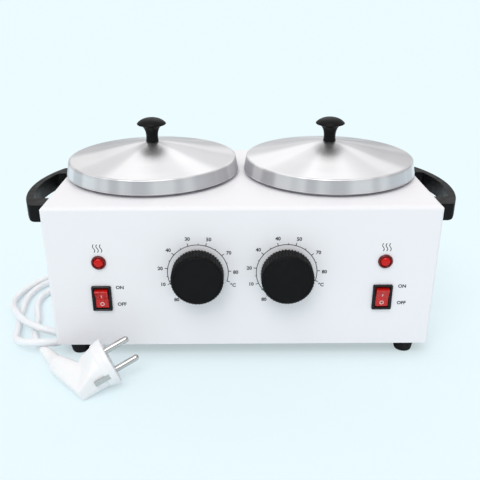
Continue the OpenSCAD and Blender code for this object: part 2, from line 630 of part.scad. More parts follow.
// The plug's own frame: +X along the pins, the pins one above the other
module plug_frame() translate(plug_at) rotate(plug_turn) children();
plug_bend = atan2(plug_knee[1] - plug_tip[1], plug_knee[0] - plug_tip[0]) + 90;
module plug_heel() plug_frame() for (z = [-6.5, -1]) translate([-28, -13.2, z]) sphere(2.5, $fn = 16);
module plug_body() color("white") {
    plug_frame() rotate([0, 90, 0]) difference() {
        rotate_extrude($fn = 64) polygon([[0, -8.5], [plug_r - 1.4, -8.5], [plug_r - 0.3, -3.8],
            [plug_r, -3.2], [plug_r, -0.8], [plug_r - 0.8, 0], [0, 0]]);
        for (x = [-1, 1]) translate([x * pin_gap / 2, 0, -6]) cylinder(h = 12, r = pin_r, $fn = 32);
    }
    // Body behind the collar, falling away to a blunt heel
    hull() {
        plug_frame() translate([-8, 0, 0]) rotate([0, 90, 0]) cylinder(h = 1, r = plug_r - 2.4, $fn = 32);
        plug_frame() for (y = [-12.4, 11.6], z = [-5, 5]) translate([-17, y, z]) sphere(3, $fn = 16);
        plug_heel();
    }
    // Arm that carries the lead, then its ribbed relief
    hull() {
        plug_frame() translate([-20, -2, -1]) sphere(8, $fn = 24);
        plug_heel();
        translate(plug_knee) sphere(7.6, $fn = 24);
    }
    hull() {
        translate(plug_knee) sphere(5.3, $fn = 24);
        translate(plug_tip) rotate([90, 0, plug_bend]) cylinder(h = 0.4, r = 3.7, $fn = 24);
    }
}
module plug_pins() color("silver")
    plug_frame() for (z = [-1, 1]) translate([-6, 0, z * pin_gap / 2]) rotate([0, 90, 0]) {
        cylinder(h = pin_len + 4.5, r = pin_r, $fn = 32);
        translate([0, 0, pin_len + 4.5]) cylinder(h = 1.5, r1 = pin_r, r2 = pin_r - 1, $fn = 32);
    }
module plug_earth_clips() color("silver")
    plug_frame() for (y = [-1, 1])
        translate([-16.5, y * (plug_r - 1.2) - 0.6, -2]) cube([16.2, 1.2, 4]);

housing();
base_plate();
base_screws();
rubber_feet();
foot_screws();
placed_handle(left);  // left_handle
placed_handle(right);  // right_handle
handle_screws();
well(left);  // left_well
well(right);  // right_well
heater_band(left);  // left_heater_band
heater_band(right);  // right_heater_band
insulation(left);  // left_insulation
insulation(right);  // right_insulation
pot(left);  // left_pot
pot(right);  // right_pot
lid(left);  // left_lid
lid(right);  // right_lid
lid_knob(left);  // left_lid_knob
lid_knob(right);  // right_lid_knob
lid_screw(left);  // left_lid_screw
lid_screw(right);  // right_lid_screw
thermostat(left);  // left_thermostat
thermostat(right);  // right_thermostat
dial_shaft(left);  // left_dial_shaft
dial_shaft(right);  // right_dial_shaft
thermostat_screws();
capillary(left);  // left_capillary
capillary(right);  // right_capillary
dial_knob(left);  // left_dial_knob
dial_knob(right);  // right_dial_knob
switch_body(left);  // left_switch_body
switch_body(right);  // right_switch_body
rocker(left);  // left_rocker
rocker(right);  // right_rocker
lamp_body(left);  // left_lamp_body
lamp_body(right);  // right_lamp_body
lamp_lens(left);  // left_lamp_lens
lamp_lens(right);  // right_lamp_lens
terminal_block();
terminal_screws();
thermal_fuses();
earth_stud();
wiring();
cord_gland();
cord_rear();
cord_coil();
cord_front();
plug_body();
plug_pins();
plug_earth_clips();
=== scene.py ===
# Double-pot wax warmer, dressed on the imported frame
import math

import bpy
import numpy as np
from mathutils import Euler, Matrix, Vector


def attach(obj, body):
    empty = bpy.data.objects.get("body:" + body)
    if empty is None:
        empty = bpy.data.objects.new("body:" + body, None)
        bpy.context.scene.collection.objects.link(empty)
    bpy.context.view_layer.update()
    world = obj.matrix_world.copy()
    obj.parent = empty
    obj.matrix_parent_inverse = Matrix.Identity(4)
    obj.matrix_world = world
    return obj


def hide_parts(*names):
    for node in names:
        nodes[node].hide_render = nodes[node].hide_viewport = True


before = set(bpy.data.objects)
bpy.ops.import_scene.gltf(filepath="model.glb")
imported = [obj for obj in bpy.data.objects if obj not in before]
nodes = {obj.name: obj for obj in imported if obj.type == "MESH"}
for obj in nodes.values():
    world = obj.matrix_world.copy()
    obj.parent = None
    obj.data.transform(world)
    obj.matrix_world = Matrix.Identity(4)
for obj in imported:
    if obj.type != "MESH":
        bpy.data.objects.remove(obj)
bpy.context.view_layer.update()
mm = 0.001
frontY = -74.5  # front panel, in millimetres
topZ = 126.5  # top of the cabinet
halfWidth = 147.5  # from the cabinet's middle to a side wall
sides = {"left": -1, "right": 1}
print("frame loaded:", len(nodes), "nodes")


def turned(degrees, axis):
    return Matrix.Rotation(math.radians(degrees), 4, axis)


def at(x, y, z):
    # Shifted to a place given with y counted from the front panel
    return Matrix.Translation(Vector((x, frontY + y, z)))


# ---- camera ----
cameraSet = {
    "place": (-5.12, -491.78, 278.6),
    "pitch": 23.07,
    "yaw": 0.47,
    "roll": -0.08,
    "focalPx": 612.7,
    "framePx": 480,
}


def aimCamera(c):
    data = bpy.data.cameras.new("photoCamera")
    data.sensor_width = 36
    data.lens = c["focalPx"] / c["framePx"] * 36
    data.clip_end = 100
    camera = bpy.data.objects.new("photoCamera", data)
    bpy.context.scene.collection.objects.link(camera)
    turn = turned(-c["yaw"], "Z") @ turned(90 - c["pitch"], "X") @ turned(c["roll"], "Z")
    camera.matrix_world = Matrix.Translation(Vector(c["place"]) * mm) @ turn
    bpy.context.scene.camera = camera


aimCamera(cameraSet)


# ---- meshes from arrays ----
uvScale = 0.01  # texture units per millimetre


def meshPiece(name, parts, body, replaced=(), smooth=True):
    # Joins (points, faces, uvs) parts into one object in metres; points are given in millimetres.
    points, faces, uvs, start = [], [], [], 0
    for p, f, uv in parts:
        points.append(np.asarray(p, float) * mm)
        for block in f:
            faces.extend((np.asarray(block) + start).tolist())
        uvs.append(np.asarray(uv, float))
        start += len(p)
    mesh = bpy.data.meshes.new(name)
    mesh.from_pydata(np.concatenate(points).tolist(), [], faces)
    layer = mesh.uv_layers.new(name="UVMap")
    corner = np.zeros(len(mesh.loops), np.int32)
    mesh.loops.foreach_get("vertex_index", corner)
    layer.data.foreach_set("uv", np.concatenate(uvs)[corner].astype(np.float32).ravel())
    mesh.polygons.foreach_set("use_smooth", np.full(len(mesh.polygons), smooth))
    mesh.validate()
    mesh.update()
    piece = bpy.data.objects.new(name, mesh)
    bpy.context.scene.collection.objects.link(piece)
    if replaced:
        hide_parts(*replaced)
    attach(piece, body)
    return piece


def placed(part, matrix):
    # Every point of a part through a 4 x 4 matrix, in millimetres
    p, f, uv = part
    m = np.array(matrix)
    return np.asarray(p) @ m[:3, :3].T + m[:3, 3], f, uv


def rounded(points, radii, steps=5):
    # Each inner corner of the line is cut back by its radius and bridged by a parabola
    points = np.asarray(points, float)
    radii = np.broadcast_to(radii, len(points))
    line = [points[:1]]
    t = np.linspace(0, 1, steps + 1)[:, None]
    for a, b, c, r in zip(points[:-2], points[1:-1], points[2:], radii[1:-1]):
        if r <= 0:
            line.append(b[None])
            continue
        first = b + (a - b) * min(r / np.linalg.norm(a - b), 0.48)
        last = b + (c - b) * min(r / np.linalg.norm(c - b), 0.48)
        line.append(first * (1 - t) ** 2 + 2 * b * t * (1 - t) + last * t**2)
    line.append(points[-1:])
    return np.concatenate(line)


def ringFaces(rows, count):
    # Faces of rings of count points, one below the other, closed by a point above the first ring and one
    # below the last
    i, j = np.meshgrid(np.arange(rows - 1), np.arange(count), indexing="ij")
    k = (j + 1) % count
    quads = [i * count + j, (i + 1) * count + j, (i + 1) * count + k, i * count + k]
    j = np.arange(count)
    k = (j + 1) % count
    top = np.stack([np.full(count, rows * count), j, k], -1)
    base = np.stack([np.full(count, rows * count + 1), (rows - 1) * count + k, (rows - 1) * count + j], -1)
    return [np.stack(quads, -1).reshape(-1, 4), top, base]


def lathe(profile, turns=160, ripple=None):
    # A profile of (radius, height) spun round Z: x = r cos a, y = r sin a; its ends lie on the axis.
    # ripple(a, r, h) is an extra factor on the radius. The profile runs from the top of the axis outwards
    # and down.
    profile = np.asarray(profile, float)
    inner = profile[1:-1]
    a = np.linspace(0, 2 * np.pi, turns, endpoint=False)
    r = np.repeat(inner[:, 0][:, None], turns, 1)
    h = np.repeat(inner[:, 1][:, None], turns, 1)
    if ripple is not None:
        r = r * ripple(a[None, :], r, h)
    grid = np.stack([r * np.cos(a), r * np.sin(a), h], -1).reshape(-1, 3)
    points = np.vstack([grid, [0, 0, profile[0, 1]], [0, 0, profile[-1, 1]]])
    rows = len(inner)
    along = np.r_[0, np.cumsum(np.linalg.norm(np.diff(inner, axis=0), axis=1))]
    u = np.repeat(a[None, :] / (2 * np.pi), rows, 0)
    v = np.repeat(along[:, None], turns, 1) * uvScale
    uv = np.vstack([np.stack([u, v], -1).reshape(-1, 2), [[0, 0], [0, 0]]])
    return points, ringFaces(rows, turns), uv


def carried(path, radii, count=14):
    # A closed tube: rings of count points, radius radii, square to the path, carried without twist.
    path = np.asarray(path, float)
    radii = np.broadcast_to(radii, len(path))
    ahead = np.gradient(path, axis=0)
    ahead /= np.linalg.norm(ahead, axis=1)[:, None]
    across = np.zeros_like(path)
    across[0] = np.cross([0, 0, 1], ahead[0])
    across[0] /= np.linalg.norm(across[0])
    for n in range(1, len(path)):
        s = across[n - 1] - np.dot(across[n - 1], ahead[n]) * ahead[n]
        across[n] = s / np.linalg.norm(s)
    over = np.cross(ahead, across)
    a = np.linspace(0, 2 * np.pi, count, endpoint=False)
    ring = across[:, None] * np.cos(a)[None, :, None] + over[:, None] * np.sin(a)[None, :, None]
    grid = path[:, None] + ring * radii[:, None, None]
    rows = len(path)
    points = np.vstack([grid.reshape(-1, 3), path[0], path[-1]])
    along = np.r_[0, np.cumsum(np.linalg.norm(np.diff(path, axis=0), axis=1))]
    u = np.repeat(a[None, :] / (2 * np.pi), rows, 0)
    v = np.repeat(along[:, None], count, 1) * uvScale
    uv = np.vstack([np.stack([u, v], -1).reshape(-1, 2), [[0, 0], [0, v[-1, 0]]]])
    # These rings run the other way round than a lathe's, so each face is reversed to look outwards
    return points, [faces[:, ::-1] for faces in ringFaces(rows, count)], uv


def slab(outline, low, high):
    # A flat outline, counter-clockwise, raised from low to high along Z
    outline = np.asarray(outline, float)
    n = len(outline)
    points = np.vstack([np.c_[outline, np.full(n, low)], np.c_[outline, np.full(n, high)]])
    j = np.arange(n)
    k = (j + 1) % n
    wall = np.stack([j, k, k + n, j + n], -1)
    lid = (j + n)[None]
    floor = j[::-1][None]
    return points, [wall, lid, floor], np.vstack([outline, outline]) * uvScale


def smoothLine(points, step):
    # Centripetal Catmull-Rom line through the points, sampled about every step millimetres.
    p = np.asarray(points, float)
    p = np.vstack([2 * p[0] - p[1], p, 2 * p[-1] - p[-2]])
    line = []
    for a, b, c, d in zip(p[:-3], p[1:-2], p[2:-1], p[3:]):
        k0 = 0.0
        k1 = k0 + np.linalg.norm(b - a) ** 0.5
        k2 = k1 + np.linalg.norm(c - b) ** 0.5
        k3 = k2 + np.linalg.norm(d - c) ** 0.5
        n = max(2, int(round(np.linalg.norm(c - b) / step)))
        t = np.linspace(k1, k2, n, endpoint=False)[:, None]
        ab = (k1 - t) / (k1 - k0) * a + (t - k0) / (k1 - k0) * b
        bc = (k2 - t) / (k2 - k1) * b + (t - k1) / (k2 - k1) * c
        cd = (k3 - t) / (k3 - k2) * c + (t - k2) / (k3 - k2) * d
        abc = (k2 - t) / (k2 - k0) * ab + (t - k0) / (k2 - k0) * bc
        bcd = (k3 - t) / (k3 - k1) * bc + (t - k1) / (k3 - k1) * cd
        line.append((k2 - t) / (k2 - k1) * abc + (t - k1) / (k2 - k1) * bcd)
    line.append(p[-2][None])
    return np.concatenate(line)


def bevel(piece, width, segments=3, angle=40):
    edge = piece.modifiers.new("edges", "BEVEL")
    edge.width = width * mm
    edge.segments = segments
    edge.limit_method = "ANGLE"
    edge.angle_limit = math.radians(angle)
    edge.harden_normals = True
    return piece


# ---- finishes ----
def linear(r, g, b):
    # 0-255 screen colour to the linear value that a shader takes
    c = np.array([r, g, b]) / 255
    c = np.where(c <= 0.04045, c / 12.92, ((c + 0.055) / 1.055) ** 2.4)
    return (*c.tolist(), 1.0)


def finish(name, surface, tint=None, sheen=None, relief=None, brushed=None):
    # Principled surface whose colour, roughness and bump wander with noise on Object coordinates.
    # tint = (second colour, noise scale), sheen = (scale, low, high) roughness, relief = (scale, depth in mm,
    # detail), brushed = (centre x, centre y, lines per metre, depth in mm, painted reflection colour) for
    # rings turned round a vertical axis, with broad soft bands of painted reflection in that colour down the
    # slope and narrower ones on the rim.
    material = bpy.data.materials.new(name)
    material.use_nodes = True
    tree = material.node_tree
    shader = tree.nodes["Principled BSDF"]
    for socket, value in surface.items():
        shader.inputs[socket].default_value = value

    def node(kind, **settings):
        made = tree.nodes.new("ShaderNode" + kind)
        for key, value in settings.items():
            setattr(made, key, value)
        return made

    def noise(vector, scale, detail=3.0):
        made = node("TexNoise")
        made.inputs["Scale"].default_value = scale
        made.inputs["Detail"].default_value = detail
        tree.links.new(vector, made.inputs["Vector"])
        return made.outputs["Fac"]

    where = node("TexCoord").outputs["Object"]
    if brushed:
        centred = node("Mapping")
        centred.inputs["Location"].default_value = (-brushed[0], -brushed[1], 0)
        tree.links.new(where, centred.inputs["Vector"])
        apart = node("SeparateXYZ")
        tree.links.new(centred.outputs["Vector"], apart.inputs["Vector"])
        flat = node("CombineXYZ")
        tree.links.new(apart.outputs["X"], flat.inputs["X"])
        tree.links.new(apart.outputs["Y"], flat.inputs["Y"])
        radius = node("VectorMath", operation="LENGTH")
        tree.links.new(flat.outputs["Vector"], radius.inputs[0])
        ringed = node("CombineXYZ")
        tree.links.new(radius.outputs["Value"], ringed.inputs["X"])
        tree.links.new(apart.outputs["Z"], ringed.inputs["Y"])
        grain = noise(ringed.outputs["Vector"], brushed[2], 4.0)
        turned = node("CombineXYZ")
        minus = node("Math", operation="MULTIPLY")
        minus.inputs[1].default_value = -1
        tree.links.new(apart.outputs["Y"], minus.inputs[0])
        tree.links.new(minus.outputs["Value"], turned.inputs["X"])
        tree.links.new(apart.outputs["X"], turned.inputs["Y"])
        spoke = node("VectorMath", operation="NORMALIZE")
        tree.links.new(flat.outputs["Vector"], spoke.inputs[0])
        carry = node("VectorTransform", vector_type="VECTOR", convert_from="OBJECT", convert_to="WORLD")
        tree.links.new(turned.outputs["Vector"], carry.inputs["Vector"])
        tree.links.new(carry.outputs["Vector"], shader.inputs["Tangent"])
    if tint:
        mix = node("Mix", data_type="RGBA")
        mix.inputs["A"].default_value = surface["Base Color"]
        mix.inputs["B"].default_value = tint[0]
        tree.links.new(noise(where, tint[1]), mix.inputs["Factor"])
        tree.links.new(mix.outputs["Result"], shader.inputs["Base Color"])
        # Painted reflection: noise on the direction round the axis lays darker bands over the base colour, in
        # place of the streaks of light that a spun surface shows
        if brushed:
            paintedReflectionBands = node("MapRange", interpolation_type="SMOOTHSTEP")
            paintedReflectionBands.inputs["From Min"].default_value = 0.42
            paintedReflectionBands.inputs["From Max"].default_value = 0.62
            paintedReflectionMix = node("Mix", data_type="RGBA")
            paintedReflectionMix.inputs["B"].default_value = brushed[4]
            # The painted reflection bands grow narrower past 68.4 mm from the axis, on the rim
            bend = node("MapRange")
            bend.inputs["From Min"].default_value = 68.4 * mm
            bend.inputs["From Max"].default_value = 69.4 * mm
            bend.inputs["To Min"].default_value = 1.25
            bend.inputs["To Max"].default_value = 3.4
            tree.links.new(radius.outputs["Value"], bend.inputs["Value"])
            reflectionStreakNoise = noise(spoke.outputs["Vector"], 1.25, 1.0)
            tree.links.new(bend.outputs["Result"], reflectionStreakNoise.node.inputs["Scale"])
            tree.links.new(reflectionStreakNoise, paintedReflectionBands.inputs["Value"])
            tree.links.new(paintedReflectionBands.outputs["Result"], paintedReflectionMix.inputs["Factor"])
            tree.links.new(mix.outputs["Result"], paintedReflectionMix.inputs["A"])
            tree.links.new(paintedReflectionMix.outputs["Result"], shader.inputs["Base Color"])
    if sheen:
        spread = node("MapRange")
        spread.inputs["From Min"].default_value = 0.3
        spread.inputs["From Max"].default_value = 0.7
        spread.inputs["To Min"].default_value = sheen[1]
        spread.inputs["To Max"].default_value = sheen[2]
        tree.links.new(grain if brushed else noise(where, sheen[0]), spread.inputs["Value"])
        tree.links.new(spread.outputs["Result"], shader.inputs["Roughness"])
    if relief or brushed:
        bump = node("Bump")
        bump.inputs["Strength"].default_value = 1.0
        bump.inputs["Distance"].default_value = (brushed[3] if brushed else relief[1]) * mm
        tree.links.new(grain if brushed else noise(where, relief[0], relief[2]), bump.inputs["Height"])
        tree.links.new(bump.outputs["Normal"], shader.inputs["Normal"])
    return material


finishes = {
    "enamel": finish(
        "whiteEnamel",
        {"Base Color": linear(244, 242, 245), "Roughness": 0.45, "Specular IOR Level": 0.3},
        tint=(linear(241, 240, 243), 9.0),
        sheen=(60.0, 0.42, 0.48),
    ),
    "blackPlastic": finish(
        "blackPlastic",
        {"Base Color": linear(11, 11, 12), "Roughness": 0.4, "Specular IOR Level": 0.14},
        tint=(linear(15, 15, 16), 40.0),
        sheen=(150.0, 0.36, 0.5),
        relief=(1800.0, 0.02, 3.0),
    ),
    "knobPlastic": finish(
        "dialPlastic",
        {"Base Color": linear(12, 12, 13), "Roughness": 0.5, "Specular IOR Level": 0.12},
        tint=(linear(16, 16, 17), 60.0),
        sheen=(200.0, 0.46, 0.58),
        relief=(2500.0, 0.015, 3.0),
    ),
    "rubber": finish(
        "footRubber",
        {"Base Color": linear(14, 14, 16), "Roughness": 0.7, "Specular IOR Level": 0.25},
        tint=(linear(22, 22, 24), 90.0),
        sheen=(120.0, 0.62, 0.8),
        relief=(900.0, 0.04, 4.0),
    ),
    "steel": finish(
        "zincSheet",
        {"Base Color": linear(170, 172, 176), "Metallic": 1.0, "Roughness": 0.4},
        tint=(linear(150, 153, 158), 35.0),
        sheen=(80.0, 0.3, 0.5),
        relief=(300.0, 0.01, 2.0),
    ),
    "screw": finish(
        "screwSteel",
        {"Base Color": linear(190, 190, 192), "Metallic": 1.0, "Roughness": 0.28},
        tint=(linear(160, 160, 163), 400.0),
        sheen=(500.0, 0.22, 0.38),
        relief=(1500.0, 0.01, 2.0),
    ),
    "heater": finish(
        "heaterBand",
        {"Base Color": linear(150, 140, 120), "Metallic": 1.0, "Roughness": 0.5},
        tint=(linear(120, 100, 80), 30.0),
        sheen=(60.0, 0.4, 0.6),
        relief=(200.0, 0.03, 3.0),
    ),
    "wool": finish(
        "ceramicWool",
        {"Base Color": linear(214, 205, 180), "Roughness": 0.95},
        tint=(linear(190, 180, 150), 120.0),
        relief=(500.0, 0.6, 6.0),
    ),
    "copper": finish(
        "bareCopper",
        {"Base Color": linear(200, 125, 85), "Metallic": 1.0, "Roughness": 0.35},
        tint=(linear(150, 90, 60), 90.0),
        sheen=(200.0, 0.28, 0.5),
    ),
    "switchPlastic": finish(
        "switchPlastic",
        {"Base Color": linear(12, 12, 13), "Roughness": 0.3, "Specular IOR Level": 0.25},
        tint=(linear(17, 17, 18), 200.0),
        sheen=(300.0, 0.26, 0.38),
    ),
    "redRocker": finish(
        "redRocker",
        {
            "Base Color": linear(216, 30, 24),
            "Roughness": 0.28,
            "Subsurface Weight": 0.25,
            "Subsurface Radius": (0.004, 0.0006, 0.0004),
            "Subsurface Scale": 0.3,
        },
        tint=(linear(176, 14, 12), 150.0),
        sheen=(300.0, 0.22, 0.36),
    ),
    "redBezel": finish(
        "redBezel",
        {"Base Color": linear(110, 8, 10), "Roughness": 0.24},
        tint=(linear(84, 5, 8), 200.0),
        sheen=(300.0, 0.2, 0.32),
    ),
    "redLens": finish(
        "redLens",
        {
            "Base Color": linear(222, 26, 22),
            "Roughness": 0.22,
            "Specular IOR Level": 0.2,
            "Coat Weight": 0.1,
            "Coat Roughness": 0.05,
        },
        tint=(linear(180, 12, 12), 260.0),
        sheen=(400.0, 0.14, 0.24),
    ),
    "ivory": finish(
        "ivoryBlock",
        {"Base Color": linear(232, 225, 200), "Roughness": 0.5},
        tint=(linear(215, 206, 180), 80.0),
        sheen=(90.0, 0.42, 0.6),
    ),
    "wire": finish(
        "wireSleeve",
        {"Base Color": linear(96, 56, 34), "Roughness": 0.45},
        tint=(linear(80, 44, 26), 90.0),
        sheen=(90.0, 0.38, 0.55),
    ),
    "cordPvc": finish(
        "cordSheath",
        {
            "Base Color": linear(246, 247, 249),
            "Roughness": 0.4,
            "Subsurface Weight": 0.08,
            "Subsurface Scale": 0.002,
        },
        tint=(linear(238, 240, 243), 45.0),
        sheen=(120.0, 0.34, 0.48),
        relief=(500.0, 0.02, 2.0),
    ),
    "plugPlastic": finish(
        "plugMoulding",
        {
            "Base Color": linear(247, 247, 248),
            "Roughness": 0.36,
            "Subsurface Weight": 0.06,
            "Subsurface Scale": 0.002,
        },
        tint=(linear(241, 241, 243), 60.0),
        sheen=(160.0, 0.3, 0.44),
        relief=(900.0, 0.012, 2.0),
    ),
    "nickel": finish(
        "nickelPins",
        {"Base Color": linear(205, 204, 202), "Metallic": 1.0, "Roughness": 0.16},
        tint=(linear(185, 184, 182), 300.0),
        sheen=(500.0, 0.12, 0.24),
    ),
    "print": finish(
        "panelPrint",
        {"Base Color": linear(16, 17, 21), "Roughness": 0.5, "Specular IOR Level": 0.2},
        tint=(linear(24, 25, 30), 600.0),
        sheen=(500.0, 0.4, 0.52),
    ),
    "whitePrint": finish(
        "rockerPrint",
        {"Base Color": linear(240, 225, 222), "Roughness": 0.4},
        tint=(linear(225, 205, 200), 600.0),
        sheen=(500.0, 0.36, 0.48),
    ),
}


# Each spun metal has its own colour, a random second tone, and a darker colour for its painted reflection
# bands
metalSet = {
    "Pot": {
        "main": linear(196, 198, 202), "spots": linear(182, 184, 189), "paintedReflectionBands": linear(186, 188, 192),
        "rough": (0.26, 0.44), "lines": 900.0, "depth": 0.02,
    },
    "Well": {
        "main": linear(186, 188, 192), "spots": linear(170, 172, 177), "paintedReflectionBands": linear(176, 178, 182),
        "rough": (0.3, 0.5), "lines": 700.0, "depth": 0.03,
    },
    "Lid": {
        "main": linear(246, 246, 247), "spots": linear(238, 238, 240), "paintedReflectionBands": linear(214, 214, 217),
        "rough": (0.36, 0.44), "lines": 1100.0, "depth": 0.006,
    },
}


def spunMetal(kind, side):
    # Aluminium turned on a lathe round one pot's axis, with bands of painted reflection round that axis
    m = metalSet[kind]
    centre = (sides[side] * potSet["x"] * mm, (frontY + potSet["y"]) * mm)
    return finish(
        side + kind + "Metal",
        {"Base Color": m["main"], "Metallic": 1.0, "Roughness": 0.32, "Anisotropic": 0.6},
        tint=(m["spots"], 14.0),
        sheen=(0, *m["rough"]),
        brushed=(*centre, m["lines"], m["depth"], m["paintedReflectionBands"]),
    )


def dress(piece, material):
    if piece.material_slots:
        for slot in piece.material_slots:
            slot.material = material
    else:
        piece.data.materials.append(material)
    return piece


def dressNodes(material, *names):
    for name in names:
        dress(nodes[name], finishes[material] if isinstance(material, str) else material)


# ---- lead and plug ----
cordSet = {
    "width": 6.0,
    "step": 2.5,
    "coilCentre": (-45, 214),
    "coilRadius": 38,
    "coilPitch": 6.8,
    "coilTurns": 2.5,
    "rear": [
        (-115, 190, 33), (-115, 201, 33), (-115, 213, 30), (-114, 225, 23), (-110, 236, 14),
        (-102, 245, 7), (-90, 250, 3), (-77, 252, 3), (-64, 252, 3),
    ],
    "front": [
        (-64, 176, 9), (-80, 175, 6), (-96, 173, 4), (-112, 172, 3), (-128, 171, 3), (-145, 168, 3),
        (-161, 160, 3), (-176, 149, 3), (-190, 138, 3), (-201, 124, 3), (-208, 109, 3), (-211, 94, 3),
        (-209, 81, 4.5), (-204, 66, 8), (-196, 52, 10), (-186, 40, 10), (-176, 31.5, 10.3),
        (-166, 27.5, 8.9), (-156, 27.5, 5.9), (-146, 29.5, 3.4), (-133, 32, 3), (-120, 37, 3),
        (-110, 47, 3), (-105, 61, 3), (-104, 77, 3), (-104, 93, 3), (-106, 109, 3), (-112, 123, 3),
        (-123, 133, 3), (-136, 139, 3), (-150, 141, 3), (-165, 140, 3), (-179, 134, 3), (-190, 124, 3),
        (-197, 112, 3), (-200, 99, 3), (-200, 85, 3), (-198, 71, 3), (-196, 57, 3), (-192.5, 43, 3),
        (-189.5, 29, 3.6), (-185.5, 16.5, 6.2), (-178.5, 8, 9.2), (-169, 3.8, 11), (-158.8, 4, 10.9),
        (-149.7, 8.6, 7.7), (-143.5, 17, 7.5), (-141, 27, 9.5), (-140, 37.5, 9.9), (-139, 51, 6),
        (-138.5, 66, 3.2), (-138, 82, 3), (-140, 97, 3), (-146.5, 108, 3), (-157, 114, 3),
        (-168.5, 114.5, 3), (-179, 109.5, 3), (-186, 100, 3), (-188, 88, 3), (-186, 75, 3),
        (-182.5, 64, 3), (-179, 53, 3), (-177, 40, 3), (-174, 28, 3), (-169, 16, 4), (-160, 4, 4),
    ],
}


def coilLine(c):
    # Spiral in on the floor and out again one layer up, climbing in the half turn where it reverses
    t = np.arange(0, c["coilTurns"] + 1e-6, 1 / 24)
    r = c["coilRadius"] - c["coilPitch"] * np.minimum(t, c["coilTurns"] - t)
    climb = (1 - np.cos(np.pi * np.clip((t - c["coilTurns"] / 2) * 2 + 0.5, 0, 1))) / 2
    x = c["coilCentre"][0] + r * np.sin(2 * np.pi * t)
    y = c["coilCentre"][1] + r * np.cos(2 * np.pi * t)
    z = c["width"] / 2 + c["coilPitch"] * climb
    line = np.stack([x, y, z], -1)
    return np.vstack([line[0] - [c["width"], 0, 0], line, line[-1] - [c["width"], 0, 0]])


plugSet = {
    "at": (-98.2, -33.4, 18.6),
    "turn": (0, -20.5, 24),
    "radius": 18.0,
    "knee": (-139.5, -24.5, 8.1),
    "tip": (-160, 4, 4),
    "heel": [(-28, -13.2, -6.5, 2.5), (-28, -13.2, -1, 2.5)],
    "back": [(-17, -12.4, -5, 3), (-17, -12.4, 5, 3), (-17, 11.6, -5, 3), (-17, 11.6, 5, 3)],
    "hub": (-20, -2, -1, 7.8),
    "ribPitch": 4.6,
}


def plugMatrix(c):
    a, b, g = c["turn"]
    return at(*c["at"]) @ turned(g, "Z") @ turned(b, "Y") @ turned(a, "X")


def wrapped(balls, rows=48, count=96):
    # A skin stretched over balls (x, y, z, r): in each direction u the ball with the largest c.u + r
    # gives the point c + r u, and neighbouring directions are joined
    balls = np.asarray(balls, float)
    b = np.linspace(0, np.pi, rows + 2)[:, None]
    a = np.linspace(0, 2 * np.pi, count, endpoint=False)[None]
    u = np.stack([np.sin(b) * np.cos(a), np.sin(b) * np.sin(a), np.cos(b) + 0 * a], -1)
    u = np.vstack([u[1:-1].reshape(-1, 3), [0, 0, 1], [0, 0, -1]])
    pick = np.argmax(u @ balls[:, :3].T + balls[:, 3], axis=1)
    points = balls[pick, :3] + balls[pick, 3:] * u
    return points, ringFaces(rows, count), points[:, :2] * uvScale


def buildPlug(c):
    spot = plugMatrix(c)
    r = c["radius"]
    knee = np.array([0, frontY, 0]) + c["knee"]
    tip = np.array([0, frontY, 0]) + c["tip"]
    bend = np.array(spot.inverted() @ Vector(knee))
    a = np.linspace(0, 2 * np.pi, 48, endpoint=False)
    disc = np.stack([np.full(48, -7.5), (r - 3) * np.cos(a), (r - 3) * np.sin(a), np.full(48, 1.0)], -1)
    body = wrapped(np.vstack([disc, c["back"], c["heel"]]))
    limb = wrapped(np.vstack([[c["hub"]], c["heel"], [[*bend, 7.6]]]))
    parts = [placed(body, spot), placed(limb, spot)]
    shell = meshPiece("plugShell", parts, "cabinet", ["plug_body"])
    skin = shell.modifiers.new("oneSkin", "REMESH")
    skin.mode = "VOXEL"
    skin.voxel_size = 0.45 * mm
    skin.use_smooth_shade = True
    soften = shell.modifiers.new("softEdges", "SMOOTH")
    soften.factor = 0.5
    soften.iterations = 9
    # The collar with its face, and the ribbed relief, whose radius dips between the ribs
    lie = turned(90, "Y")
    collar = lathe(
        rounded(
            [(0, 0), (r - 2.6, 0), (r - 2.6, -0.5), (r - 2.0, -0.5), (r - 2.0, 0), (r, 0), (r, -3.2),
             (r - 0.3, -3.8), (r - 1.4, -8.5), (0, -8.5)],
            [0, 0.1, 0.1, 0.1, 0.1, 0.7, 0.4, 0.4, 0.6, 0],
        ),
        96,
    )
    spine = smoothLine([knee, knee * 0.5 + tip * 0.5, tip], 0.35)
    left = np.linalg.norm(spine - tip, axis=1)
    plain = np.interp(left, [0, 24, 36], [3.6, 5.2, 6.4])
    depth = np.interp(left, [2.5, 4, 21, 23], [0, 0.5, 0.5, 0])
    groove = np.clip(np.cos(left * 2 * np.pi / c["ribPitch"]) * 3, -1, 1) * depth
    relief = carried(spine, plain - np.maximum(groove, 0), 40)
    ends = meshPiece("plugEnds", [placed(collar, spot @ lie), relief], "cabinet", ())
    for piece in (shell, ends):
        dress(piece, finishes["plugPlastic"])
    return [shell, ends]


glandSet = {"x": -115, "y": 164, "z": 33}


def buildGland(c):
    profile = [(0, 26), (4.2, 26)]
    for n in range(5):  # ribs of the strain relief, from its tip down to the flange
        h = 24.6 - n * 3.8
        r = 4.35 + n * 0.5
        profile += [(r, h), (r - 0.75, h - 0.1), (r - 0.65, h - 1.7), (r + 0.1, h - 1.8)]
    profile += [(6.9, 5), (7.4, 3.1), (8.9, 3), (9, 0.2), (6, 0.1), (6, -6), (0, -6)]
    part = lathe(rounded(profile, 0.3, 3), 64)
    turn = at(c["x"], c["y"], c["z"]) @ turned(-90, "X")
    piece = meshPiece("leadGland", [placed(part, turn)], "cabinet", ["cord_gland"])
    return dress(piece, finishes["cordPvc"])


